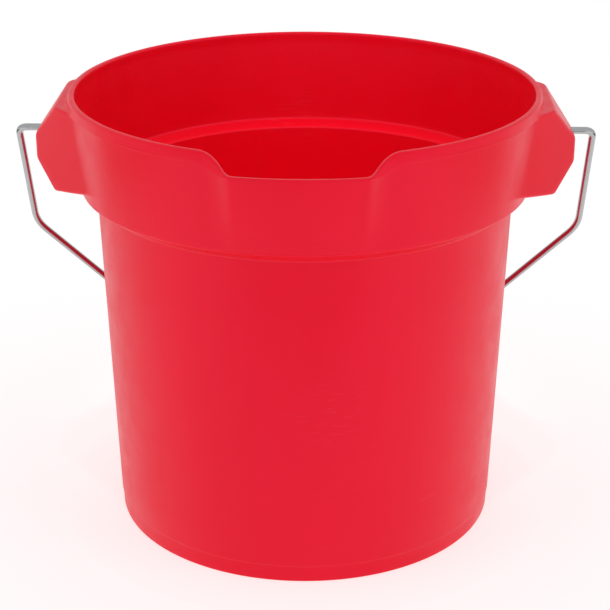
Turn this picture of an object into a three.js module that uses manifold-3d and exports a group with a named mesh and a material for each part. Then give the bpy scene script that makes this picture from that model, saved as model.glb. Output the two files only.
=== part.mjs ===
// A round wash bucket with a pouring spout, a stepped-out collar, two hollow
// handle lugs and a swinging wire bail. Millimetres, +Z up, the spout faces -Y.
// The bucket stands on z = 0 with its axis on the Z axis; the bail hangs at +Y.
import * as THREE from 'three';
import Module from 'manifold-3d';
import { ParametricGeometry } from 'three/addons/geometries/ParametricGeometry.js';
import { ConvexGeometry } from 'three/addons/geometries/ConvexGeometry.js';
import { mergeVertices } from 'three/addons/utils/BufferGeometryUtils.js';

const wasm = await Module();
wasm.setup();

// Whole bucket
const HEIGHT = 256;
const RIM_RADIUS = 134;
const WALL = 2.8;

// Tapered body below the collar
const BASE_RADIUS = 112.1;
const BODY_TAPER = 0.0367;
const BODY_TOP_Z = 195.8;
const FOOT_HEIGHT = 10.4;
const FOOT_STEP = 0.5;
const FOOT_RING_INNER_RADIUS = 100;
const FOOT_RECESS = 2.5;
const FLOOR_TOP_Z = 6;

// Collar: the wider top band that the lugs and the spout grow out of
const COLLAR_BOTTOM_Z = 201.6;
const COLLAR_BOTTOM_RADIUS = 128.1;
const COLLAR_TOP_RADIUS = 132.7;
const LIP_BAND_HEIGHT = 6.4;
const LIP_LAND = 4.4;

// Spout, given by angles to either side of -Y
const NOTCH_DEPTH = 10.4;
const NOTCH_START_DEG = 22;
const NOTCH_END_DEG = 13.6;
const SPOUT_REACH = 6;
const SPOUT_SIDE_DEG = 19.3;
const SPOUT_FACE_DEG = 15.2;

// Handle lugs at +X and -X, hollow and open below
const LUG_TOP_Z = 251;
const LUG_BOTTOM_Z = 201;
const LUG_OUTER_X = 153;
const LUG_SHELF_X = 138.5;
const LUG_OUTER_HALF_WIDTH = 9.8;
const LUG_OUTER_TOP_Z = 230.2;
const LUG_OUTER_BOTTOM_Z = 215.8;
const LUG_UNDER_X = 141;
const LUG_FACE_DEG = 38;
const LUG_SKIRT_RISE = 0.25;
const LUG_WALL = 2.6;

// Wire bail
const PIVOT_Z = 231.2;
const WIRE_RADIUS = 2.05;
const WIRE_HOLE_RADIUS = 2.5;
const LEG_X = 164;
const LEG_LENGTH = 80;
const GRIP_HALF_LENGTH = 46;
const BAIL_LENGTH = 245;
const HOOK_X = 142;
const HOOK_LENGTH = 5.2;
const BAIL_REST_DEG = 28;

const smoothstep = THREE.MathUtils.smoothstep;
const lerp = THREE.MathUtils.lerp;

// Outer radius of the body and of the collar at height z
const bodyRadius = (z) => BASE_RADIUS + BODY_TAPER * z;
const collarRadius = (z) =>
  THREE.MathUtils.mapLinear(z, COLLAR_BOTTOM_Z, HEIGHT, COLLAR_BOTTOM_RADIUS, COLLAR_TOP_RADIUS);

// Turns a merged three.js geometry into a manifold solid, for the booleans.
function solidFrom(geometry, matrix = new THREE.Matrix4()) {
  const bare = new THREE.BufferGeometry();
  bare.setAttribute('position', geometry.getAttribute('position').clone());
  if (geometry.index) {
    bare.setIndex(geometry.index.clone());
  }
  bare.applyMatrix4(matrix);
  const merged = mergeVertices(bare, 1e-3);
  const index = merged.index.array;
  const kept = [];
  for (let i = 0; i < index.length; i += 3) {
    const [a, b, c] = index.slice(i, i + 3);
    if (a !== b && b !== c && c !== a) {
      kept.push(a, b, c);
    }
  }
  return new wasm.Manifold(new wasm.Mesh({
    numProp: 3,
    vertProperties: merged.getAttribute('position').array,
    triVerts: new Uint32Array(kept),
  }));
}

// Turns a manifold solid back into a three.js geometry.
function geometryFrom(solid) {
  const mesh = solid.getMesh();
  const geometry = new THREE.BufferGeometry();
  geometry.setAttribute('position', new THREE.BufferAttribute(mesh.vertProperties, 3));
  geometry.setIndex(new THREE.BufferAttribute(mesh.triVerts, 1));
  geometry.computeVertexNormals();
  return geometry;
}

// Half-profile (radius, z) of the moulding at an angle from the spout's middle.
// It runs from the axis under the floor, up the outside, over the lip and back down inside.
function wallProfile(angleDeg) {
  const fromSpout = Math.abs(angleDeg);
  const notch = 1 - smoothstep(fromSpout, NOTCH_END_DEG, NOTCH_START_DEG);
  const reach = SPOUT_REACH * (1 - smoothstep(fromSpout, SPOUT_FACE_DEG, SPOUT_SIDE_DEG));
  const top = HEIGHT - NOTCH_DEPTH * notch;
  const band = Math.max(LIP_BAND_HEIGHT * (1 - notch), 0.8);
  const bandStep = (RIM_RADIUS - COLLAR_TOP_RADIUS) * (1 - notch);
  const land = lerp(LIP_LAND, WALL, notch);
  const outer = (z) => collarRadius(z) + reach * (z - COLLAR_BOTTOM_Z) / (top - COLLAR_BOTTOM_Z);
  const rim = outer(top) + bandStep;
  const points = [
    [0, FOOT_RECESS],
    [FOOT_RING_INNER_RADIUS, FOOT_RECESS],
    [FOOT_RING_INNER_RADIUS + 2, 0],
    [BASE_RADIUS - 1.8, 0],
    [BASE_RADIUS - FOOT_STEP, 1.4],
    [bodyRadius(FOOT_HEIGHT) - FOOT_STEP, FOOT_HEIGHT - 0.4],
    [bodyRadius(FOOT_HEIGHT), FOOT_HEIGHT],
    [bodyRadius(BODY_TOP_Z), BODY_TOP_Z],
    [COLLAR_BOTTOM_RADIUS - 2, BODY_TOP_Z + 3],
    [COLLAR_BOTTOM_RADIUS - 0.5, COLLAR_BOTTOM_Z - 1.5],
    [COLLAR_BOTTOM_RADIUS, COLLAR_BOTTOM_Z],
    [outer(top - band), top - band],
    [rim, top - band + 0.2],
    [rim, top - 0.6],
    [rim - 0.6, top],
    [rim - land * 0.7, top],
    [rim - land + 0.2, top - 0.7],
    [rim - land - 0.2, top - 2.2],
    [outer(top - band) - WALL, top - band - 1.5],
    [COLLAR_BOTTOM_RADIUS - WALL, COLLAR_BOTTOM_Z],
    [COLLAR_BOTTOM_RADIUS - WALL - 0.8, COLLAR_BOTTOM_Z - 0.7],
    [bodyRadius(BODY_TOP_Z) - WALL + 0.6, BODY_TOP_Z + 2.2],
    [bodyRadius(BODY_TOP_Z) - WALL, BODY_TOP_Z + 1.2],
    [bodyRadius(FLOOR_TOP_Z) - WALL, FLOOR_TOP_Z + 5],
    [bodyRadius(FLOOR_TOP_Z) - WALL - 1.5, FLOOR_TOP_Z + 1.5],
    [bodyRadius(FLOOR_TOP_Z) - WALL - 5, FLOOR_TOP_Z],
    [0, FLOOR_TOP_Z],
  ];
  return points;
}

// Angles round the bucket: fine steps across the spout, wider ones elsewhere.
function angleStops() {
  const spoutHalf = 24;
  const spoutSteps = 40;
  const restSteps = 72;
  const stops = [];
  for (let i = 0; i < spoutSteps; i++) {
    stops.push(-spoutHalf + i * 2 * spoutHalf / spoutSteps);
  }
  for (let i = 0; i <= restSteps; i++) {
    stops.push(spoutHalf + i * (360 - 2 * spoutHalf) / restSteps);
  }
  return stops;
}

// The moulding without its lugs, swept round the axis from wallProfile.
function wallSolid() {
  const stops = angleStops();
  const profiles = stops.map((deg) => wallProfile(deg > 180 ? deg - 360 : deg));
  const rows = profiles[0].length - 1;
  const columns = stops.length - 1;
  const pointAt = (u, v, target) => {
    const column = Math.round(u * columns);
    const [radius, z] = profiles[column][Math.round(v * rows)];
    const angle = THREE.MathUtils.degToRad(stops[column % columns] - 90);
    target.set(radius * Math.cos(angle), radius * Math.sin(angle), z);
  };
  return solidFrom(new ParametricGeometry(pointAt, columns, rows));
}

// Convex block from corner points given for +Y and repeated for -Y.
function mirroredHull(corners) {
  const both = corners.flatMap(([x, y, z]) => [
    new THREE.Vector3(x, y, z),
    new THREE.Vector3(x, -y, z),
  ]);
  return solidFrom(new ConvexGeometry(both));
}

// Lug block at +X; shrink moves its faces inwards. The normals of its front and back faces point
// LUG_FACE_DEG away from X, and its lower edge climbs towards the wall by rise per millimetre.
function lugBlock(shrink, bottom, rise) {
  const innerX = 110;
  const outerX = LUG_OUTER_X - shrink;
  const faceCos = Math.cos(THREE.MathUtils.degToRad(LUG_FACE_DEG));
  const faceSin = Math.sin(THREE.MathUtils.degToRad(LUG_FACE_DEG));
  const faceDistance = LUG_OUTER_X * faceCos + LUG_OUTER_HALF_WIDTH * faceSin - shrink;
  const halfWidthAt = (x) => (faceDistance - x * faceCos) / faceSin;
  const topSlope = (LUG_TOP_Z - LUG_OUTER_TOP_Z) / (LUG_OUTER_X - LUG_SHELF_X);
  const topShift = shrink * Math.hypot(1, topSlope);
  const underSlope = (LUG_OUTER_BOTTOM_Z - LUG_BOTTOM_Z) / (LUG_OUTER_X - LUG_UNDER_X);
  const underShift = shrink * Math.hypot(1, underSlope);
  const topZAt = (x) => LUG_TOP_Z + (LUG_SHELF_X - x) * topSlope - topShift;
  const underXAt = (z) => LUG_OUTER_X + (z - LUG_OUTER_BOTTOM_Z - underShift) / underSlope;
  const underZ = LUG_OUTER_BOTTOM_Z + underShift - shrink * underSlope;
  const shelfZ = LUG_TOP_Z - shrink;
  const shelfX = LUG_SHELF_X - (topShift - shrink) / topSlope;
  const lowHalfWidth = halfWidthAt(underXAt(bottom));
  const innerHalfWidth = halfWidthAt(innerX);
  const corners = [
    [outerX, halfWidthAt(outerX), topZAt(outerX)],
    [outerX, halfWidthAt(outerX), underZ],
    [shelfX, halfWidthAt(shelfX), shelfZ],
    [underXAt(bottom), lowHalfWidth, bottom],
    [innerX, innerHalfWidth, shelfZ],
    [innerX, lowHalfWidth, bottom],
    [innerX, innerHalfWidth, bottom + rise * (innerHalfWidth - lowHalfWidth)],
  ];
  return mirroredHull(corners);
}

// Everything inside the middle of the collar's wall, to trim the lugs to the wall.
function wallCore() {
  const inset = 1.3;
  const profile = [
    new THREE.Vector2(0, COLLAR_BOTTOM_Z - 8),
    new THREE.Vector2(COLLAR_BOTTOM_RADIUS - inset, COLLAR_BOTTOM_Z - 8),
    new THREE.Vector2(COLLAR_BOTTOM_RADIUS - inset, COLLAR_BOTTOM_Z),
    new THREE.Vector2(COLLAR_TOP_RADIUS - inset, HEIGHT),
    new THREE.Vector2(0, HEIGHT),
  ];
  const upright = new THREE.Matrix4().makeRotationX(Math.PI / 2);
  return solidFrom(new THREE.LatheGeometry(profile, 144), upright);
}

// Straight round bar along X between two X positions, at the bail's pivot height.
function pivotBar(radius, fromX, toX) {
  const bar = new THREE.CylinderGeometry(radius, radius, toX - fromX, 20);
  const matrix = new THREE.Matrix4()
    .makeTranslation((fromX + toX) / 2, 0, PIVOT_Z)
    .multiply(new THREE.Matrix4().makeRotationZ(Math.PI / 2));
  return solidFrom(bar, matrix);
}

// Hollow lug at +X with the hole for the bail's end.
function lugSolid() {
  const pocket = lugBlock(LUG_WALL, LUG_BOTTOM_Z - 4, 0);
  const hole = pivotBar(WIRE_HOLE_RADIUS, LUG_OUTER_X - 8, LUG_OUTER_X + 8);
  return lugBlock(0, LUG_BOTTOM_Z, LUG_SKIRT_RISE).subtract(pocket).subtract(wallCore()).subtract(hole);
}

function bucketShell() {
  const right = lugSolid();
  const left = right.rotate([0, 0, 180]);
  const material = new THREE.MeshStandardMaterial({
    color: 0xe0142c,
    roughness: 0.38,
    metalness: 0,
  });
  const shell = new THREE.Mesh(geometryFrom(wallSolid().add(right).add(left)), material);
  shell.name = 'bucket_shell';
  return shell;
}

// Centre line of the wire in its own plane, hanging straight down from the pivot axis:
// hooked end, pivot pin, leg, slanted shoulder and grip stretch, then the same mirrored.
function bailPath() {
  const right = [
    [HOOK_X, -HOOK_LENGTH, 1.5],
    [HOOK_X, 0, 2.6],
    [LEG_X, 0, 5],
    [LEG_X, -LEG_LENGTH, 9],
    [GRIP_HALF_LENGTH, -BAIL_LENGTH, 12],
  ];
  const corners = [...right, ...right.toReversed().map(([x, z, bend]) => [-x, z, bend])];
  const path = new THREE.CurvePath();
  let from = new THREE.Vector3(corners[0][0], 0, corners[0][1]);
  corners.slice(1, -1).forEach(([x, z, bend], i) => {
    const corner = new THREE.Vector3(x, 0, z);
    const [nextX, nextZ] = corners[i + 2];
    const next = new THREE.Vector3(nextX, 0, nextZ);
    const before = corner.clone().lerp(from, bend / corner.distanceTo(from));
    const after = corner.clone().lerp(next, bend / corner.distanceTo(next));
    path.add(new THREE.LineCurve3(from, before));
    path.add(new THREE.QuadraticBezierCurve3(before, corner, after));
    from = after;
  });
  const last = corners.at(-1);
  path.add(new THREE.LineCurve3(from, new THREE.Vector3(last[0], 0, last[1])));
  return path;
}

// The path as one curve through points placed only where the wire bends.
function bailCentreLine() {
  const points = [];
  for (const part of bailPath().curves) {
    const steps = part.isLineCurve3 ? 1 : 5;
    const some = part.getPoints(steps);
    points.push(...(points.length ? some.slice(1) : some));
  }
  return points;
}

// Round wire swept along the centre line, one ring of corners per path point.
function wireGeometry(points) {
  const sides = 12;
  const columns = points.length + 1;
  const pointAt = (u, v, target) => {
    const step = Math.round(u * columns);
    const i = THREE.MathUtils.clamp(step - 1, 0, points.length - 1);
    const capped = step === 0 || step === columns;
    const radius = capped ? 0 : WIRE_RADIUS;
    const before = points[Math.max(i - 1, 0)];
    const after = points[Math.min(i + 1, points.length - 1)];
    const inDir = points[i].clone().sub(before).normalize();
    const outDir = after.clone().sub(points[i]).normalize();
    const tangent = inDir.add(outDir).normalize();
    const across = new THREE.Vector3(-tangent.z, 0, tangent.x);
    const turn = 2 * Math.PI * (Math.round(v * sides) % sides) / sides;
    target.copy(points[i]);
    target.addScaledVector(across, radius * Math.cos(turn));
    target.y += radius * Math.sin(turn);
  };
  return new ParametricGeometry(pointAt, columns, sides);
}

function wireBail() {
  const material = new THREE.MeshStandardMaterial({
    color: 0xb9bcc0,
    roughness: 0.28,
    metalness: 1,
  });
  const bail = new THREE.Mesh(wireGeometry(bailCentreLine()), material);
  bail.name = 'wire_bail';
  bail.position.z = PIVOT_Z;
  bail.rotation.x = THREE.MathUtils.degToRad(BAIL_REST_DEG);
  return bail;
}

const washBucket = new THREE.Group();
washBucket.name = 'wash_bucket';
washBucket.add(bucketShell());
washBucket.add(wireBail());

export default washBucket;
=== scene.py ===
import math

import bmesh
import bpy
import numpy as np
from mathutils import Matrix, Vector


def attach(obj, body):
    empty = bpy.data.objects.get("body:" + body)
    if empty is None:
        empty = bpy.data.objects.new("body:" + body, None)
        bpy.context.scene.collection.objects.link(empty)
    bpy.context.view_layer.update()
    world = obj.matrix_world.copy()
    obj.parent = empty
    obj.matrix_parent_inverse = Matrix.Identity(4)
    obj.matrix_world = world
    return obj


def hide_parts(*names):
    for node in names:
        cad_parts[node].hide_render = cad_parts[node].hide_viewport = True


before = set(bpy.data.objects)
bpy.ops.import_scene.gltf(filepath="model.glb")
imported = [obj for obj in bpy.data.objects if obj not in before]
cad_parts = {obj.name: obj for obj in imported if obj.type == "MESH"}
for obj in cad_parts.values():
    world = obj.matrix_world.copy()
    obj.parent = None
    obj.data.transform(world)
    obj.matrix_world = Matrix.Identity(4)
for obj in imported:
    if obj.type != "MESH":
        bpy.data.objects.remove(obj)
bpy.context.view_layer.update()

MM = 0.001

# Dimensions of the bucket in millimetres, as in the CAD part
HEIGHT = 256.0
RIM_RADIUS = 134.0
WALL = 2.8
BASE_RADIUS = 112.1
BODY_TAPER = 0.0367
BODY_TOP_Z = 195.8
FOOT_HEIGHT = 10.4
FOOT_STEP = 0.5
FOOT_RING_INNER_RADIUS = 100.0
FOOT_RECESS = 2.5
FLOOR_TOP_Z = 6.0
COLLAR_BOTTOM_Z = 201.6
COLLAR_BOTTOM_RADIUS = 128.1
COLLAR_TOP_RADIUS = 132.7
LIP_BAND_HEIGHT = 6.5
LIP_LAND = 4.4
BAND_DRAFT = 0.9
THINNEST_BAND = 1.1
LIP_BEVEL = 0.6
LIP_BEVEL_DEPTH = 5.5
INNER_MEASURE_DEPTH = 2.6
INNER_COLLAR_DROP = 0.6
INNER_LEDGE_RISE = 1.8
HUB_RADIUS = 3.0

# Spout, in degrees to either side of -Y
NOTCH_DEPTH = 10.4
NOTCH_TOP_DEG = 20.2
NOTCH_FOOT_DEG = 15.5
BAND_EDGE_DROP = 5.2
BAND_TOP_DEG = 22.1
BAND_FOOT_DEG = 18.2
SPOUT_REACH = 6.0
REACH_START_DEG = 19.4
REACH_FULL_DEG = 15.4
SPOUT_SETBACK = 0.6
SPOUT_FLATTENING = 0.8
INNER_REACH_SHIFT_DEG = 0.5
# How softly each slope starts and ends: (at its start, where it is full)
NOTCH_BLENDS = (6.6, 2.2)
BAND_BLENDS = (3.4, 3.4)
REACH_BLENDS = (4.0, 1.5)
INNER_REACH_BLENDS = (2.0, 3.0)
AWAY_FROM_SPOUT_DEG = 90.0

# Handle lugs
LUG_TOP_Z = 251.0
LUG_BOTTOM_Z = 201.0
LUG_OUTER_X = 153.0
LUG_SHELF_X = 138.5
LUG_OUTER_HALF_WIDTH = 9.8
LUG_OUTER_TOP_Z = 230.2
LUG_OUTER_BOTTOM_Z = 215.8
LUG_UNDER_X = 141.0
LUG_WALL = 2.6
LUG_FACE_ANGLE = math.radians(38)
LUG_FACE_COS = math.cos(LUG_FACE_ANGLE)
LUG_FACE_SIN = math.sin(LUG_FACE_ANGLE)
LUG_FACE_DISTANCE = LUG_OUTER_X * LUG_FACE_COS + LUG_OUTER_HALF_WIDTH * LUG_FACE_SIN
LUG_LOW_HALF_WIDTH = (LUG_FACE_DISTANCE - LUG_UNDER_X * LUG_FACE_COS) / LUG_FACE_SIN
LUG_SKIRT_RISE = 0.25
LUG_EDGE_BLEND = 1.3
LUG_ROOT_BLEND = 2.0
LUG_ROOT_BLEND_LOW = 0.8
LUG_ROOT_BLEND_HIGH = 1.2
LUG_SKIRT_BLEND = 1.0
LUG_SKIRT_END_Y = 60.0
LUG_POCKET_DROP = 6.0
LUG_POCKET_INNER_X = 110.0
LUG_POCKET_BEVEL = 0.7

# Columns of the shell's mesh around a lug: offsets in mm from the lug's edge and from its root
LUG_ZONE_DEG = 35.0
LUG_FADE_START_DEG = 29.5
LUG_FADE_END_DEG = LUG_ZONE_DEG - 0.6
LUG_EDGE_RADIUS = 145.0
LUG_ROOT_LOWEST_Z = LUG_BOTTOM_Z + 6
FACE_SHARES = (0.34, 0.68)
EDGE_OFFSETS = (-2.3, -1.5, -0.9, -0.4, 0, 0.4, 0.9, 1.5, 2.3)
FLANK_SHARES = (0.17, 0.34, 0.5, 0.67, 0.84)
ROOT_OFFSETS = (-9, -7.4, -6, -4.7, -3.5, -2.3, -1.2, 0, 1.2, 2.3, 3.5, 4.8, 6.2, 7.7, 9.4)
OUTSIDE_SHARES = (0.33, 0.67, 1.0)
BACK_COLUMNS = 104
FRONT_SIDE_COLUMNS = 36
# Columns from the spout's middle to either side: (from, to, count), in degrees
SPOUT_SPANS = ((0, 13.5, 11), (13.5, 21.5, 33), (21.5, 26, 7))

# Rows of the shell's mesh up the outside of the collar, before a lug moves them
TURN_TOP_Z = 202.75
UNDER_FIRST_Z = 202.85
UNDER_LAST_Z = 203.8
SIDE_FIRST_Z = 203.9
SIDE_LAST_Z = 249.35
SIDE_GAP = 0.15
LEDGE_SHARES = (0.15, 0.35, 0.6, 0.85)
LEDGE_DROP = 0.1
LEDGE_RISE = 0.4
BAND_TOP_GAP = 1.4
SHELF_LOW = 0.42
SHELF_HIGH = 1.5

# Where a lug moves those rows to
LUG_FIRST_Z = 201.2
LUG_LAST_Z = 250.8
LUG_UNDER_Z = 200.95
LUG_UNDER_RISE = 0.15
LUG_UNDER_START_RADIUS = 128.2
LUG_UNDER_LEAST_RADIUS = 128.3
LUG_UNDER_SHARE = 0.985
LUG_LIFT_TOP_Z = 224.0
LUG_LEDGE_Z = (250.83, 250.86, 250.89, 250.92)
LUG_LEDGE_SHARES = (0.0, 0.02, 0.05, 0.1)
LUG_SHELF_Z = 250.93
LUG_SHELF_RISE = 0.2
LUG_SHELF_FIRST_SHARE = 0.2
ROOT_LOW_Z = (202.5, 208.0)
ROOT_HIGH_Z = (246.5, 250.5)
ROWS_OF_WALL_BELOW = 12
ROWS_MOVED_BELOW = 4
UNDER_ROWS = 8
SHELF_ROWS = 6

# Wire bail
PIVOT_Z = 231.2
WIRE_RADIUS = 2.05
WIRE_HOLE_RADIUS = 2.5
LEG_X = 164.0
LEG_LENGTH = 80.0
GRIP_HALF_LENGTH = 46.0
BAIL_LENGTH = 245.0
HOOK_X = 142.0
HOOK_LENGTH = 5.2
HOOK_BEND = 3.3
LEG_TOP_BEND = 5.0
LEG_FOOT_BEND = 9.0
GRIP_BEND = 12.0
BAIL_REST_DEG = 28.0
WIRE_SIDES = 28
WIRE_STEP = 12.0
BEND_POINTS = 13
# Rounded end of the wire: rings of (radius, distance in from the end)
WIRE_END = ((1.35, 0.0), (1.85, 0.18), (WIRE_RADIUS, 0.6))

# Cutters for the lugs' hollows
HOLE_SIDES = 32
HOLE_FROM_X = 144
HOLE_TO_X = 162
CORE_STEPS = 360
CORE_TOP_Z = 252
CORE_CLEARANCE = 0.15


def smin(a, b, k):
    h = np.clip((k - np.abs(a - b)) / k, 0, None)
    return np.minimum(a, b) - h * h * k / 4


def smax(a, b, k):
    return -smin(-a, -b, k)


def ramp(angle, start, full, height, start_blend, full_blend):
    """0 beyond start, height inside full, straight between them, with rounded ends."""
    straight = height * (start - angle) / (start - full)
    return smin(smax(straight, 0.0, start_blend), height, full_blend)


def body_radius(z):
    return BASE_RADIUS + BODY_TAPER * z


def collar_radius(z):
    share = (z - COLLAR_BOTTOM_Z) / (HEIGHT - COLLAR_BOTTOM_Z)
    return COLLAR_BOTTOM_RADIUS + (COLLAR_TOP_RADIUS - COLLAR_BOTTOM_RADIUS) * share


class Lip:
    """Everything about the top of the wall that changes with the angle from the spout."""

    def __init__(self, from_spout):
        a = np.abs(from_spout)
        drop = ramp(a, NOTCH_TOP_DEG, NOTCH_FOOT_DEG, NOTCH_DEPTH, *NOTCH_BLENDS)
        lower = LIP_BAND_HEIGHT + ramp(a, BAND_TOP_DEG, BAND_FOOT_DEG, BAND_EDGE_DROP, *BAND_BLENDS)
        self.top = HEIGHT - drop
        self.lower = np.minimum(HEIGHT - lower, self.top - THINNEST_BAND)
        fade = np.clip(drop / NOTCH_DEPTH, 0, 1)
        self.step = 1 - fade
        self.land = LIP_LAND + (WALL - LIP_LAND) * fade
        reach = ramp(a, REACH_START_DEG, REACH_FULL_DEG, SPOUT_REACH, *REACH_BLENDS)
        flatter = SPOUT_FLATTENING * np.clip(a / REACH_FULL_DEG, 0, 1) ** 2 * reach / SPOUT_REACH
        self.reach = reach - SPOUT_SETBACK * reach / SPOUT_REACH + flatter
        inner_reach = ramp(a, REACH_START_DEG - INNER_REACH_SHIFT_DEG,
                           REACH_FULL_DEG - INNER_REACH_SHIFT_DEG, SPOUT_REACH,
                           *INNER_REACH_BLENDS)
        self.inner_reach = inner_reach * self.reach.max() / SPOUT_REACH

    def lean(self, z):
        return np.clip((z - COLLAR_BOTTOM_Z) / (self.top - COLLAR_BOTTOM_Z), 0, 1)

    def outer(self, z):
        return collar_radius(z) + self.reach * self.lean(z)

    def inner(self, z):
        return collar_radius(z) + self.inner_reach * self.lean(z) - WALL


def rounded(corners):
    """Rows of a half-profile, from corners.

    A corner is (r, z, tangent length, arc steps, steps to the next corner), with r and z as
    numbers or as arrays over the angle columns. A corner with a tangent length is rounded by a
    quadratic curve that starts and ends that far from it.
    """
    rows = []
    count = len(corners)
    points = [np.stack(np.broadcast_arrays(c[0], c[1]), -1).astype(float) for c in corners]
    columns = max(len(p) if p.ndim > 1 else 1 for p in points)
    points = [np.broadcast_to(p, (columns, 2)) for p in points]
    starts, ends = [], []
    for i, corner in enumerate(corners):
        p = points[i]
        reach = corner[2]
        if i in (0, count - 1) or reach == 0:
            starts.append(p)
            ends.append(p)
            continue
        before = points[i - 1] - p
        after = points[i + 1] - p
        len_before = np.linalg.norm(before, axis=-1, keepdims=True)
        len_after = np.linalg.norm(after, axis=-1, keepdims=True)
        t = np.minimum(reach, 0.48 * np.minimum(len_before, len_after))
        starts.append(p + before / len_before * t)
        ends.append(p + after / len_after * t)
    for i, corner in enumerate(corners):
        steps = corner[3] if corner[2] else 0
        for k in range(steps + 1):
            s = k / steps if steps else 0.0
            rows.append((1 - s) ** 2 * starts[i] + 2 * s * (1 - s) * points[i] + s * s * ends[i])
        if i < count - 1:
            for k in range(1, corner[4]):
                rows.append(ends[i] + (starts[i + 1] - ends[i]) * k / corner[4])
    return rows


def side_heights(first, last):
    """Heights of the rows on the side of the collar, bunched where a lug has its edges."""
    bunch = [-2.4, -1.6, -1.0, -0.5, 0.0, 0.5, 1.0, 1.6, 2.4]
    heights = [first, first + 0.35, first + 0.8, first + 1.4, first + 2.2, first + 3.6]
    heights += [first + 6.2, first + 9.2]
    heights += [LUG_OUTER_BOTTOM_Z + d for d in bunch]
    heights += [220.5, 223.0, 225.5]
    heights += [LUG_OUTER_TOP_Z + d for d in bunch]
    heights += [235.5, 238.5, 241.5, 244.5]
    heights += [last - 4.4, last - 3.0, last - 2.0, last - 1.3, last - 0.8, last - 0.4, last]
    return np.array(heights)


PLAIN_HEIGHTS = side_heights(SIDE_FIRST_Z, SIDE_LAST_Z)
LUG_HEIGHTS = side_heights(LUG_FIRST_Z, LUG_LAST_Z)


def smoothstep(x, low, high):
    t = np.clip((x - low) / (high - low), 0, 1)
    return t * t * (3 - 2 * t)


def plan_radius(cos_a, sin_a):
    """Radius of a lug's slanted face, seen from above."""
    return LUG_FACE_DISTANCE / (LUG_FACE_COS * cos_a + LUG_FACE_SIN * sin_a)


def lug_face_x(z):
    """X of the lug's outermost face in the middle plane at height z."""
    top = np.interp(z, [LUG_OUTER_TOP_Z, LUG_TOP_Z], [LUG_OUTER_X, LUG_SHELF_X])
    under = np.interp(z, [LUG_BOTTOM_Z, LUG_OUTER_BOTTOM_Z], [LUG_UNDER_X, LUG_OUTER_X])
    return np.minimum(top, under)


def lug_distance(r, z, angle):
    """About the distance outside the lug block, with its edges rounded."""
    x = r * np.cos(angle)
    y = r * np.abs(np.sin(angle))
    dx, dz = LUG_OUTER_X - LUG_SHELF_X, LUG_TOP_Z - LUG_OUTER_TOP_Z
    top_face = ((x - LUG_SHELF_X) * dz + (z - LUG_TOP_Z) * dx) / math.hypot(dx, dz)
    dx, dz = LUG_OUTER_X - LUG_UNDER_X, LUG_OUTER_BOTTOM_Z - LUG_BOTTOM_Z
    under_face = ((x - LUG_UNDER_X) * dz - (z - LUG_BOTTOM_Z) * dx) / math.hypot(dx, dz)
    k = LUG_EDGE_BLEND
    out = smax(x - LUG_OUTER_X, x * LUG_FACE_COS + y * LUG_FACE_SIN - LUG_FACE_DISTANCE, k)
    out = smax(smax(out, top_face, k), under_face, k)
    skirt_z = LUG_BOTTOM_Z + LUG_SKIRT_RISE * (y - LUG_LOW_HALF_WIDTH)
    skirt = (skirt_z - z) / math.hypot(1, LUG_SKIRT_RISE)
    below = smax(LUG_BOTTOM_Z - z, skirt, LUG_SKIRT_BLEND)
    return smax(smax(out, z - LUG_TOP_Z, k), below, k)


def lug_angles(z):
    """Column angles from the middle of a lug to the end of its zone, for each row height z."""
    x = lug_face_x(z)
    edge = np.arctan2((LUG_FACE_DISTANCE - x * LUG_FACE_COS) / LUG_FACE_SIN, x)
    ring = collar_radius(np.clip(z, LUG_ROOT_LOWEST_Z, LUG_TOP_Z))
    root = LUG_FACE_ANGLE - np.arccos(np.clip(LUG_FACE_DISTANCE / ring, -1, 1))
    at_edge = [(edge * LUG_EDGE_RADIUS + d) / LUG_EDGE_RADIUS for d in EDGE_OFFSETS]
    at_root = [(root * ring + d) / ring for d in ROOT_OFFSETS]
    zone_end = math.radians(LUG_ZONE_DEG)
    face = [at_edge[0] * s for s in FACE_SHARES]
    flank = [at_edge[-1] + (at_root[0] - at_edge[-1]) * s for s in FLANK_SHARES]
    outside = [at_root[-1] + (zone_end - at_root[-1]) * s for s in OUTSIDE_SHARES]
    return np.stack([np.zeros_like(z)] + face + at_edge + flank + at_root + outside, -1)


def plain_angles():
    """Column angles in degrees from +X, behind and in front of the lugs' zones."""
    back = np.linspace(LUG_ZONE_DEG, 180 - LUG_ZONE_DEG, BACK_COLUMNS)[1:-1]
    spans = [np.linspace(*span) for span in SPOUT_SPANS]
    half = np.concatenate([span[:-1] for span in spans[:-1]] + [spans[-1]])
    spout = 270 + np.concatenate([-half[::-1], half[1:]])
    left = np.linspace(180 + LUG_ZONE_DEG, spout[0], FRONT_SIDE_COLUMNS)[1:-1]
    right = np.linspace(spout[-1], 360 - LUG_ZONE_DEG, FRONT_SIDE_COLUMNS)[1:-1]
    return back, np.concatenate([left, spout, right])


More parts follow.
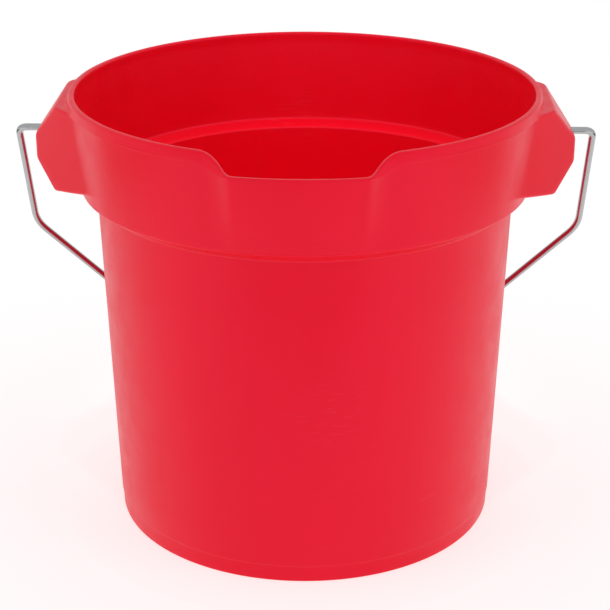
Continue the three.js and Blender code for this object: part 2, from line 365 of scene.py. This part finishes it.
def profile_rows(lip):
    """Half-profile rows (r, z) for every column: under the floor, outside, over the lip, inside."""
    rim = lip.outer(lip.top) + (RIM_RADIUS - COLLAR_TOP_RADIUS) * lip.step
    foot_r = body_radius(FOOT_HEIGHT)
    start = rounded([
        (0.0, FOOT_RECESS, 0, 0, 1),
        (HUB_RADIUS, FOOT_RECESS, 0, 0, 4),
        (FOOT_RING_INNER_RADIUS, FOOT_RECESS, 1.0, 4, 1),
        (FOOT_RING_INNER_RADIUS + 2, 0.0, 0.6, 4, 2),
        (BASE_RADIUS - FOOT_STEP + 0.02, 0.0, 1.1, 8, 2),
        (foot_r - FOOT_STEP, FOOT_HEIGHT - 0.5, 0.3, 3, 1),
        (foot_r, FOOT_HEIGHT, 0.5, 4, 9),
        (body_radius(BODY_TOP_Z), BODY_TOP_Z, 1.2, 5, 2),
        (COLLAR_BOTTOM_RADIUS, COLLAR_BOTTOM_Z, 0.9, 7, 1),
        (collar_radius(TURN_TOP_Z), TURN_TOP_Z, 0, 0, 1),
    ])
    rows = [np.broadcast_to(row, (len(lip.top), 2)) for row in start]
    for k in range(UNDER_ROWS):
        z = UNDER_FIRST_Z + (UNDER_LAST_Z - UNDER_FIRST_Z) * k / (UNDER_ROWS - 1)
        r = lip.outer(z)
        rows.append(np.stack([r, np.full_like(r, z)], -1))
    for s in (PLAIN_HEIGHTS - UNDER_LAST_Z) / (SIDE_LAST_Z - UNDER_LAST_Z):
        z = UNDER_LAST_Z + s * (lip.lower - SIDE_GAP - UNDER_LAST_Z)
        rows.append(np.stack([lip.outer(z), z], -1))
    # the step out to the lip's band, then the rows that a lug spreads over its shelf
    ledge_in = lip.outer(lip.lower)
    for s in LEDGE_SHARES:
        r = ledge_in + (rim - ledge_in) * smoothstep(s, 0, 1)
        rows.append(np.stack([r, lip.lower - LEDGE_DROP + LEDGE_RISE * s], -1))
    band_top = lip.top - BAND_TOP_GAP
    low = np.minimum(lip.lower + SHELF_LOW, band_top - 0.1)
    high = np.minimum(lip.lower + SHELF_HIGH, band_top - 0.05)
    for k in range(SHELF_ROWS):
        rows.append(np.stack([rim, low + (high - low) * k / (SHELF_ROWS - 1)], -1))
    inner_r = lip.inner(lip.top - INNER_MEASURE_DEPTH)
    top_inner = np.minimum(rim - lip.land, inner_r + LIP_BEVEL)
    end = rounded([
        (rim, high, 0, 0, 2),
        (rim - BAND_DRAFT * lip.step, lip.top, 1.6, 7, 1),
        (top_inner, lip.top, 2.2, 9, 1),
        (inner_r, lip.top - LIP_BEVEL_DEPTH, 1.5, 3, 12),
        (COLLAR_BOTTOM_RADIUS - WALL, COLLAR_BOTTOM_Z - INNER_COLLAR_DROP, 1.3, 6, 2),
        (body_radius(BODY_TOP_Z) - WALL, BODY_TOP_Z + INNER_LEDGE_RISE, 1.1, 7, 8),
        (body_radius(FLOOR_TOP_Z) - WALL, FLOOR_TOP_Z, 6.0, 9, 5),
        (HUB_RADIUS, FLOOR_TOP_Z, 0, 0, 1),
        (0.0, FLOOR_TOP_Z, 0, 0, 1),
    ])
    return len(start), np.stack(rows + end[1:])


def lug_surface(rows, angle, side_start):
    """Moves the rows of the collar's side out to a lug's rounded surface.

    angle is measured from the lug's middle, for each row and column. The rows are first spread over
    the sharp lug, then every point is moved onto the rounded surface along its steepest slope.
    """
    r, z = rows[..., 0].copy(), rows[..., 1].copy()
    under = slice(side_start, side_start + UNDER_ROWS)
    side = slice(under.stop, under.stop + len(PLAIN_HEIGHTS))
    ledge = slice(side.stop, side.stop + len(LEDGE_SHARES))
    shelf = slice(ledge.stop, ledge.stop + SHELF_ROWS)
    wall = slice(side_start - ROWS_OF_WALL_BELOW, shelf.stop)
    wall_z, wall_r = z[wall, -1], r[wall, -1]
    order = np.argsort(wall_z, kind="stable")
    wall_z, wall_r = wall_z[order], wall_r[order]
    size = np.abs(angle)
    cos_a, sin_a = np.cos(size), np.sin(size)
    inside = 1 - smoothstep(np.degrees(size), LUG_FADE_START_DEG, LUG_FADE_END_DEG)

    def sharp_radius(zz, rows_of):
        face = lug_face_x(zz) / cos_a[rows_of]
        return np.minimum(face, plan_radius(cos_a[rows_of], sin_a[rows_of]))

    def radius_at(level, rows_of):
        return sharp_radius(np.full_like(r[rows_of], level), rows_of)

    def mixed(rows_of, lug_z, lug_r):
        w = inside[rows_of]
        z[rows_of] = z[rows_of] * (1 - w) + lug_z * w
        r[rows_of] = np.maximum(np.interp(z[rows_of], wall_z, wall_r), lug_r)

    def skirt_lift(rr, rows_of):
        beyond = rr * sin_a[rows_of] - LUG_LOW_HALF_WIDTH
        return LUG_SKIRT_RISE * np.clip(beyond, 0, LUG_SKIRT_END_Y - LUG_LOW_HALF_WIDTH)

    # under the lug, from the wall out to its lower edge
    q = np.linspace(0.0, 1.0, UNDER_ROWS)[:, None]
    start_r = LUG_UNDER_START_RADIUS
    edge_r = np.maximum(radius_at(LUG_BOTTOM_Z, under), LUG_UNDER_LEAST_RADIUS)
    low_r = start_r + (edge_r - start_r) * q * LUG_UNDER_SHARE
    mixed(under, LUG_UNDER_Z + LUG_UNDER_RISE * q + skirt_lift(low_r, under), low_r)

    # up its outside
    lug_z = np.broadcast_to(LUG_HEIGHTS[:, None], r[side].shape)
    lift = skirt_lift(sharp_radius(lug_z, side), side)
    share = (LUG_LIFT_TOP_Z - lug_z) / (LUG_LIFT_TOP_Z - LUG_BOTTOM_Z)
    lug_z = lug_z + lift * np.clip(share, 0, 1)
    mixed(side, lug_z, sharp_radius(lug_z, side))

    # over its top, back to the rim
    top_z = np.array(LUG_LEDGE_Z)[:, None]
    near = np.array(LUG_LEDGE_SHARES)[:, None]
    top_r = np.maximum(radius_at(LUG_TOP_Z, ledge), RIM_RADIUS)
    mixed(ledge, top_z, top_r + (RIM_RADIUS - top_r) * near)
    q = np.linspace(LUG_SHELF_FIRST_SHARE, 1.0, SHELF_ROWS)[:, None]
    top_r = np.maximum(radius_at(LUG_TOP_Z, shelf), RIM_RADIUS)
    mixed(shelf, LUG_SHELF_Z + LUG_SHELF_RISE * q, top_r + (RIM_RADIUS - top_r) * q)

    def distance(rr, zz, aa):
        low, high = LUG_ROOT_BLEND_LOW, LUG_ROOT_BLEND_HIGH
        root = low + (LUG_ROOT_BLEND - low) * smoothstep(zz, *ROOT_LOW_Z)
        root = root + (high - root) * smoothstep(zz, *ROOT_HIGH_Z)
        from_wall = rr - np.interp(zz, wall_z, wall_r)
        return smin(from_wall, lug_distance(rr, zz, aa), root)

    moving = slice(side_start - ROWS_MOVED_BELOW, shelf.stop)
    rr, zz, aa = r[moving], z[moving], size[moving]
    eps, damping, flattest, rounds = 0.01, 0.8, 0.05, 14
    for _ in range(rounds):
        f = distance(rr, zz, aa)
        gr = (distance(rr + eps, zz, aa) - distance(rr - eps, zz, aa)) / (2 * eps)
        gz = (distance(rr, zz + eps, aa) - distance(rr, zz - eps, aa)) / (2 * eps)
        g2 = np.maximum(gr * gr + gz * gz, flattest)
        rr = rr - damping * f * gr / g2
        zz = zz - damping * f * gz / g2
    r[moving], z[moving] = rr, zz
    return np.stack([r, z], -1)


def shell_mesh():
    """Vertices in metres and faces of the whole moulding, before its pockets and holes are cut."""
    side_start, rows = profile_rows(Lip(np.array([AWAY_FROM_SPOUT_DEG])))
    total = len(rows)
    first_side = side_start + UNDER_ROWS
    first_ledge = first_side + len(LUG_HEIGHTS)
    heights = np.full(total, LUG_TOP_Z)
    heights[:first_side] = LUG_BOTTOM_Z
    heights[first_side:first_ledge] = LUG_HEIGHTS
    half = lug_angles(heights)
    zone = np.concatenate([-half[:, :0:-1], half], 1)
    _, lug_rows = profile_rows(Lip(np.full(zone.shape[1], AWAY_FROM_SPOUT_DEG)))
    lug_rows = lug_surface(lug_rows, zone, side_start)

    def plain_part(degrees):
        from_spout = (degrees - 270 + 180) % 360 - 180
        angles = np.broadcast_to(np.radians(degrees), (total, len(degrees)))
        return profile_rows(Lip(from_spout))[1], angles

    back, front = plain_angles()
    parts = [(lug_rows, zone), plain_part(back), (lug_rows, math.pi + zone), plain_part(front)]
    rows = np.concatenate([part[0] for part in parts], 1)
    angles = np.concatenate([part[1] for part in parts], 1)
    r, z = rows[..., 0], rows[..., 1]
    grid = np.stack([r * np.cos(angles), r * np.sin(angles), z], -1)
    columns = grid.shape[1]
    verts = [grid[0, 0]] + list(grid[1:-1].reshape(-1, 3)) + [grid[-1, 0]]
    index = 1 + np.arange((total - 2) * columns).reshape(total - 2, columns)
    after = np.roll(index, -1, 1)
    faces = np.stack([index[:-1], after[:-1], after[1:], index[1:]], -1).reshape(-1, 4).tolist()
    faces += [[0, int(b), int(a)] for a, b in zip(index[0], after[0])]
    last = len(verts) - 1
    faces += [[last, int(a), int(b)] for a, b in zip(index[-1], after[-1])]
    return np.array(verts) * MM, faces


def link_new(name, data):
    obj = bpy.data.objects.new(name, data)
    bpy.context.scene.collection.objects.link(obj)
    return obj


def new_object(name, verts, faces):
    mesh = bpy.data.meshes.new(name)
    mesh.from_pydata([tuple(v) for v in verts], [], faces)
    mesh.validate()
    mesh.update()
    return link_new(name, mesh)


def hull_object(name, points):
    """Convex hull of the points, in millimetres, with its edges rounded."""
    bm = bmesh.new()
    for p in points:
        bm.verts.new(Vector(p) * MM)
    bmesh.ops.convex_hull(bm, input=bm.verts)
    loose = [v for v in bm.verts if not v.link_faces]
    bmesh.ops.delete(bm, geom=loose, context="VERTS")
    bmesh.ops.dissolve_limit(bm, angle_limit=0.01, verts=bm.verts, edges=bm.edges)
    bmesh.ops.bevel(bm, geom=bm.edges[:], offset=LUG_POCKET_BEVEL * MM, segments=3,
                    affect="EDGES", profile=0.5)
    mesh = bpy.data.meshes.new(name)
    bm.to_mesh(mesh)
    bm.free()
    return link_new(name, mesh)


def lug_pocket_points():
    """Corners of the hollow under the +X lug: its block, with the faces moved in by its wall."""
    shrink = LUG_WALL
    bottom = LUG_BOTTOM_Z - LUG_POCKET_DROP
    top_slope = (LUG_TOP_Z - LUG_OUTER_TOP_Z) / (LUG_OUTER_X - LUG_SHELF_X)
    top_shift = shrink * math.hypot(1, top_slope)
    under_slope = (LUG_OUTER_BOTTOM_Z - LUG_BOTTOM_Z) / (LUG_OUTER_X - LUG_UNDER_X)
    under_shift = shrink * math.hypot(1, under_slope)
    outer = LUG_OUTER_X - shrink
    top_z = LUG_TOP_Z + (LUG_SHELF_X - outer) * top_slope - top_shift
    under_z = LUG_OUTER_BOTTOM_Z + under_shift - shrink * under_slope
    shelf_z = LUG_TOP_Z - shrink
    shelf_x = LUG_SHELF_X - (top_shift - shrink) / top_slope
    low_x = LUG_OUTER_X + (bottom - LUG_OUTER_BOTTOM_Z - under_shift) / under_slope
    inner = LUG_POCKET_INNER_X

    def half(x):
        return (LUG_FACE_DISTANCE - shrink - x * LUG_FACE_COS) / LUG_FACE_SIN

    corners = [(outer, half(outer), top_z), (outer, half(outer), under_z),
               (shelf_x, half(shelf_x), shelf_z), (low_x, half(low_x), bottom),
               (inner, half(shelf_x), shelf_z), (inner, half(low_x), bottom)]
    return [(x, s * y, z) for x, y, z in corners for s in (1, -1)]


def lathe_object(name, profile, steps):
    """Closed solid of revolution; the profile runs from the axis to the axis."""
    verts, faces = [], []
    inner = profile[1:-1]
    for k in range(steps):
        a = 2 * math.pi * k / steps
        verts += [(r * math.cos(a) * MM, r * math.sin(a) * MM, z * MM) for r, z in inner]
    n = len(inner)
    for k in range(steps):
        j = (k + 1) % steps
        for i in range(n - 1):
            faces.append([k * n + i, j * n + i, j * n + i + 1, k * n + i + 1])
    low, high = len(verts), len(verts) + 1
    verts += [(0, 0, profile[0][1] * MM), (0, 0, profile[-1][1] * MM)]
    for k in range(steps):
        j = (k + 1) % steps
        faces.append([low, j * n, k * n])
        faces.append([high, k * n + n - 1, j * n + n - 1])
    return new_object(name, verts, faces)


def subtract(obj, cutter):
    """Cuts the cutter out of the object's mesh."""
    mod = obj.modifiers.new("cut", "BOOLEAN")
    mod.operation = "DIFFERENCE"
    mod.object = cutter
    mod.solver = "MANIFOLD"
    bpy.context.view_layer.update()
    depsgraph = bpy.context.evaluated_depsgraph_get()
    mesh = bpy.data.meshes.new_from_object(obj.evaluated_get(depsgraph))
    obj.modifiers.remove(mod)
    old = obj.data
    obj.data = mesh
    bpy.data.meshes.remove(old)


def drop(obj):
    mesh = obj.data
    bpy.data.objects.remove(obj)
    bpy.data.meshes.remove(mesh)


def hole_cutter():
    """Bar along X that cuts the +X lug's hole for the wire."""
    bar = [(WIRE_HOLE_RADIUS * math.cos(a), WIRE_HOLE_RADIUS * math.sin(a))
           for a in np.linspace(0, 2 * math.pi, HOLE_SIDES + 1)[:-1]]
    verts = [(x * MM, y * MM, (PIVOT_Z + z) * MM)
             for x in (HOLE_FROM_X, HOLE_TO_X) for y, z in bar]
    n = HOLE_SIDES
    faces = [list(range(n))[::-1], list(range(n, 2 * n))]
    faces += [[i, (i + 1) % n, n + (i + 1) % n, n + i] for i in range(n)]
    return new_object("cutter_hole", verts, faces)


def build_shell():
    shell = new_object("moulded_shell", *shell_mesh())
    # the space inside the wall's outer face, which a pocket stops at
    core = lathe_object("cutter_core", [
        (0, 190), (118, 190), (126.2, 198.9), (128.25, 201.7),
        (collar_radius(CORE_TOP_Z) + CORE_CLEARANCE, CORE_TOP_Z), (0, CORE_TOP_Z)], CORE_STEPS)
    for turn in (0.0, math.pi):
        spin = Matrix.Rotation(turn, 4, "Z")
        pocket = hull_object("cutter_pocket", lug_pocket_points())
        pocket.data.transform(spin)
        subtract(pocket, core)
        subtract(shell, pocket)
        drop(pocket)
        hole = hole_cutter()
        hole.data.transform(spin)
        subtract(shell, hole)
        drop(hole)
    drop(core)
    shell.data.shade_smooth()
    shell.data.set_sharp_from_angle(angle=math.radians(38))
    return shell


def bail_path():
    """Centre line of the wire in its own plane: (x, height from the pivot), dense at the bends."""
    right = [(HOOK_X, -HOOK_LENGTH, 0), (HOOK_X, 0, HOOK_BEND), (LEG_X, 0, LEG_TOP_BEND),
             (LEG_X, -LEG_LENGTH, LEG_FOOT_BEND), (GRIP_HALF_LENGTH, -BAIL_LENGTH, GRIP_BEND)]
    corners = right + [(-x, z, b) for x, z, b in reversed(right)]
    points = [np.array(corners[0][:2], float)]
    for i in range(1, len(corners) - 1):
        corner = np.array(corners[i][:2], float)
        nxt = np.array(corners[i + 1][:2], float)
        prev = np.array(corners[i - 1][:2], float)
        bend = corners[i][2]
        a = corner + (prev - corner) / np.linalg.norm(prev - corner) * bend
        b = corner + (nxt - corner) / np.linalg.norm(nxt - corner) * bend
        start = points[-1]
        steps = max(1, int(np.linalg.norm(a - start) / WIRE_STEP))
        points += [start + (a - start) * k / steps for k in range(1, steps + 1)]
        points += [(1 - s) ** 2 * a + 2 * s * (1 - s) * corner + s * s * b
                   for s in np.linspace(0, 1, BEND_POINTS)[1:]]
    points.append(np.array(corners[-1][:2], float))
    return points


def build_bail():
    points = bail_path()
    sides = WIRE_SIDES
    rest = math.radians(BAIL_REST_DEG)
    verts, faces = [], []

    def ring(center, tangent, radius, push=0.0):
        across = np.array([-tangent[1], tangent[0]])
        c = center + tangent * push
        for k in range(sides):
            a = 2 * math.pi * k / sides
            x, h = c + across * radius * math.cos(a)
            y = radius * math.sin(a)
            verts.append((x * MM, (y * math.cos(rest) - h * math.sin(rest)) * MM,
                          (PIVOT_Z + h * math.cos(rest) + y * math.sin(rest)) * MM))

    n = len(points)
    for i, p in enumerate(points):
        into = points[i] - points[max(i - 1, 0)]
        out = points[min(i + 1, n - 1)] - points[i]
        t = into / max(np.linalg.norm(into), 1e-9) + out / max(np.linalg.norm(out), 1e-9)
        t = t / np.linalg.norm(t)
        if i == 0:
            for radius, push in WIRE_END:
                ring(p, t, radius, push)
        elif i == n - 1:
            for radius, push in reversed(WIRE_END):
                ring(p, t, radius, -push)
        else:
            ring(p, t, WIRE_RADIUS)
    rings = len(verts) // sides
    for i in range(rings - 1):
        for k in range(sides):
            j = (k + 1) % sides
            faces.append([i * sides + k, i * sides + j, (i + 1) * sides + j, (i + 1) * sides + k])
    faces.append(list(range(sides))[::-1])
    faces.append([(rings - 1) * sides + k for k in range(sides)])
    bail = new_object("plated_bail", verts, faces)
    bm = bmesh.new()
    bm.from_mesh(bail.data)
    bmesh.ops.recalc_face_normals(bm, faces=bm.faces)
    bm.to_mesh(bail.data)
    bm.free()
    bail.data.shade_smooth()
    bail.data.set_sharp_from_angle(angle=math.radians(50))
    return bail


# ---------------------------------------------------------------- materials


def node(tree, kind, **settings):
    n = tree.nodes.new(kind)
    for key, value in settings.items():
        if key in n.inputs:
            n.inputs[key].default_value = value
        else:
            setattr(n, key, value)
    return n


def new_material(name, **settings):
    """A material, its node tree and its shader, with the shader's own sockets set."""
    mat = bpy.data.materials.new(name)
    mat.use_nodes = True
    shader = mat.node_tree.nodes["Principled BSDF"]
    for key, value in settings.items():
        shader.inputs[key.replace("_", " ")].default_value = value
    return mat, mat.node_tree, shader


# Sockets of a Mix node that mixes colours
MIX_A, MIX_B, MIX_RESULT = 6, 7, 2

PLASTIC_DARK = (0.805, 0.0010, 0.0105, 1.0)
PLASTIC_LIGHT = (0.845, 0.0016, 0.0135, 1.0)
SPECK_COLOR = (0.60, 0.002, 0.012, 1.0)
SCUFF_COLOR = (0.90, 0.10, 0.13, 1.0)
WIRE_DARK = (0.42, 0.43, 0.44, 1.0)
WIRE_LIGHT = (0.52, 0.53, 0.54, 1.0)


def red_plastic():
    mat, tree, shader = new_material("red_plastic", IOR=1.5, Specular_IOR_Level=0.4,
                                     Specular_Tint=(1.0, 0.45, 0.85, 1.0))
    link = tree.links.new
    place = tree.nodes.new("ShaderNodeTexCoord")

    def noise(scale, detail, rough=0.5, stretch=None):
        n = node(tree, "ShaderNodeTexNoise", Scale=scale, Detail=detail, Roughness=rough)
        source = place.outputs["Object"]
        if stretch:
            m = node(tree, "ShaderNodeMapping")
            m.inputs["Scale"].default_value = stretch
            link(source, m.inputs["Vector"])
            source = m.outputs["Vector"]
        link(source, n.inputs["Vector"])
        return n.outputs["Fac"]

    def curve(source, low, high, to_low, to_high):
        m = node(tree, "ShaderNodeMapRange", interpolation_type="SMOOTHSTEP")
        limits = (("From Min", low), ("From Max", high), ("To Min", to_low), ("To Max", to_high))
        for key, value in limits:
            m.inputs[key].default_value = value
        link(source, m.inputs["Value"])
        return m.outputs["Result"]

    def math_node(operation, a, b):
        m = node(tree, "ShaderNodeMath", operation=operation)
        for socket, value in zip(m.inputs, (a, b)):
            if isinstance(value, float):
                socket.default_value = value
            else:
                link(value, socket)
        return m.outputs["Value"]

    def mix(factor, a, b):
        m = node(tree, "ShaderNodeMix", data_type="RGBA")
        link(factor, m.inputs["Factor"])
        for key, value in ((MIX_A, a), (MIX_B, b)):
            if isinstance(value, tuple):
                m.inputs[key].default_value = value
            else:
                link(value, m.inputs[key])
        return m.outputs[MIX_RESULT]

    # slow flow marks of the pigment, darker and lighter by a few percent
    flow = curve(noise(9.0, 3.0, 0.55, (1.0, 1.0, 0.35)), 0.3, 0.7, 0.0, 1.0)
    speck = curve(noise(420.0, 2.0, 0.6), 0.62, 0.78, 0.0, 1.0)
    # fine scuffs: thin marks round the bucket, gathered into a few worn patches
    patches = curve(noise(14.0, 2.0, 0.5), 0.52, 0.72, 0.0, 1.0)
    hairs = curve(noise(900.0, 2.0, 0.5, (0.12, 0.12, 1.0)), 0.6, 0.68, 0.0, 1.0)
    scuffs = math_node("MULTIPLY", patches, hairs)
    color = mix(flow, PLASTIC_DARK, PLASTIC_LIGHT)
    color = mix(math_node("MULTIPLY", speck, 0.10), color, SPECK_COLOR)
    color = mix(math_node("MULTIPLY", scuffs, 0.16), color, SCUFF_COLOR)
    link(color, shader.inputs["Base Color"])
    rough = curve(noise(60.0, 4.0, 0.6), 0.3, 0.7, 0.33, 0.42)
    rough = math_node("ADD", rough, math_node("MULTIPLY", scuffs, 0.12))
    link(rough, shader.inputs["Roughness"])
    # the mould's fine grain and slight waviness
    peel = noise(700.0, 3.0, 0.55)
    ripple = noise(55.0, 2.0, 0.5)
    height = math_node("ADD", math_node("MULTIPLY", peel, 0.10), math_node("MULTIPLY", ripple, 0.5))
    height = math_node("SUBTRACT", height, math_node("MULTIPLY", scuffs, 0.12))
    bump = node(tree, "ShaderNodeBump", Strength=0.35, Distance=0.00008)
    link(height, bump.inputs["Height"])
    link(bump.outputs["Normal"], shader.inputs["Normal"])
    return mat


def plated_wire():
    mat, tree, shader = new_material("plated_wire", Metallic=1.0)
    link = tree.links.new
    place = tree.nodes.new("ShaderNodeTexCoord")
    bloom = node(tree, "ShaderNodeTexNoise", Scale=240.0, Detail=4.0, Roughness=0.6)
    link(place.outputs["Object"], bloom.inputs["Vector"])
    tint = node(tree, "ShaderNodeMix", data_type="RGBA")
    tint.inputs[MIX_A].default_value = WIRE_DARK
    tint.inputs[MIX_B].default_value = WIRE_LIGHT
    link(bloom.outputs["Fac"], tint.inputs["Factor"])
    link(tint.outputs[MIX_RESULT], shader.inputs["Base Color"])
    rough = node(tree, "ShaderNodeMapRange")
    for key, value in (("From Min", 0.3), ("From Max", 0.7), ("To Min", 0.18), ("To Max", 0.27)):
        rough.inputs[key].default_value = value
    link(bloom.outputs["Fac"], rough.inputs["Value"])
    link(rough.outputs["Result"], shader.inputs["Roughness"])
    draw = node(tree, "ShaderNodeTexNoise", Scale=900.0, Detail=2.0, Roughness=0.5)
    link(place.outputs["Object"], draw.inputs["Vector"])
    bump = node(tree, "ShaderNodeBump", Strength=0.12, Distance=0.00002)
    link(draw.outputs["Fac"], bump.inputs["Height"])
    link(bump.outputs["Normal"], shader.inputs["Normal"])
    return mat


# ---------------------------------------------------------------- object


def set_material(obj, material):
    obj.data.materials.clear()
    obj.data.materials.append(material)


plastic = red_plastic()
wire = plated_wire()

shell = build_shell()
set_material(shell, plastic)
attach(shell, "bucket")
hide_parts("bucket_shell")

bail = build_bail()
set_material(bail, wire)
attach(bail, "bail")
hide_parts("wire_bail")

for name, material in (("bucket_shell", plastic), ("wire_bail", wire)):
    set_material(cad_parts[name], material)


# ---------------------------------------------------------------- stage

FLOOR_HALF = 12.0
FLOOR_CORNERS = [(-1, -1), (1, -1), (1, 1), (-1, 1)]
floor = new_object("studio_floor", [(x * FLOOR_HALF, y * FLOOR_HALF, 0) for x, y in FLOOR_CORNERS],
                   [[0, 1, 2, 3]])
set_material(floor, new_material(
    "studio_floor", Base_Color=(0.60, 0.60, 0.60, 1.0), Roughness=0.9, Specular_IOR_Level=0.0,
    Emission_Color=(1.0, 1.0, 1.0, 1.0), Emission_Strength=0.56)[0])


def new_light(name, kind, place, target, power):
    """A light that neither the camera nor a reflection sees."""
    data = bpy.data.lights.new(name, kind)
    data.energy = power
    obj = link_new(name, data)
    obj.location = place
    obj.rotation_euler = (Vector(target) - Vector(place)).to_track_quat("-Z", "Y").to_euler()
    obj.visible_camera = False
    obj.visible_glossy = False
    return data


def softbox(name, place, target, width, height, power):
    data = new_light(name, "AREA", place, target, power)
    data.shape = "RECTANGLE"
    data.size = width
    data.size_y = height


def spotlight(name, place, target, angle, power, radius):
    data = new_light(name, "SPOT", place, target, power)
    data.spot_size = math.radians(angle)
    data.spot_blend = 0.6
    data.shadow_soft_size = radius


MIDDLE = (0, 0, 0.13)
softbox("key_left", (-1.5, -0.75, 0.75), MIDDLE, 0.9, 1.5, 2.9)
softbox("key_right", (1.5, -0.75, 0.75), MIDDLE, 0.9, 1.5, 2.9)
spotlight("down_spot", (0, 0, 1.9), (0, 0, 0), 7.4, 120, 0.05)
spotlight("opening_spot", (0, -0.5, 2.0), (0, 0.035, 0.2), 7.4, 62, 0.08)

# Black cards that only reflections see: they keep the floor's gloss off the front of the wall
# and off the lugs' front faces
black = new_material("black_card", Base_Color=(0.01, 0.01, 0.01, 1.0), Specular_IOR_Level=0.0)[0]
CARD_HEIGHT = 0.002
CARDS = {
    "front_card": [(-0.34, -1.6), (0.34, -1.6), (0.26, -0.37), (-0.26, -0.37)],
    "right_card": [(0.55, -0.30), (1.50, -0.55), (1.50, 0.50), (0.55, 0.20)],
    "left_card": [(-0.55, 0.20), (-1.50, 0.50), (-1.50, -0.55), (-0.55, -0.30)],
}
for name, outline in CARDS.items():
    card = new_object(name, [(x, y, CARD_HEIGHT) for x, y in outline], [[0, 1, 2, 3]])
    set_material(card, black)
    for ray in ("camera", "diffuse", "transmission", "volume_scatter", "shadow"):
        setattr(card, "visible_" + ray, False)

world = bpy.data.worlds.new("studio")
world.use_nodes = True
background = world.node_tree.nodes["Background"]
background.inputs["Color"].default_value = (1.0, 1.0, 1.0, 1.0)
background.inputs["Strength"].default_value = 0.72
bpy.context.scene.world = world
bpy.context.scene.view_settings.view_transform = "Standard"

# ---------------------------------------------------------------- camera

CAMERA_PLACE = Vector((0.0215, -0.9495, 0.5143))
CAMERA_AIM = Vector((0.0, 0.0, 0.12227))
SENSOR_WIDTH = 36.0
LENS = 101.926
camera_data = bpy.data.cameras.new("camera")
camera_data.sensor_width = SENSOR_WIDTH
camera_data.lens = LENS
camera = link_new("camera", camera_data)
camera.location = CAMERA_PLACE
camera.rotation_euler = (CAMERA_AIM - CAMERA_PLACE).to_track_quat("-Z", "Y").to_euler()
bpy.context.scene.camera = camera
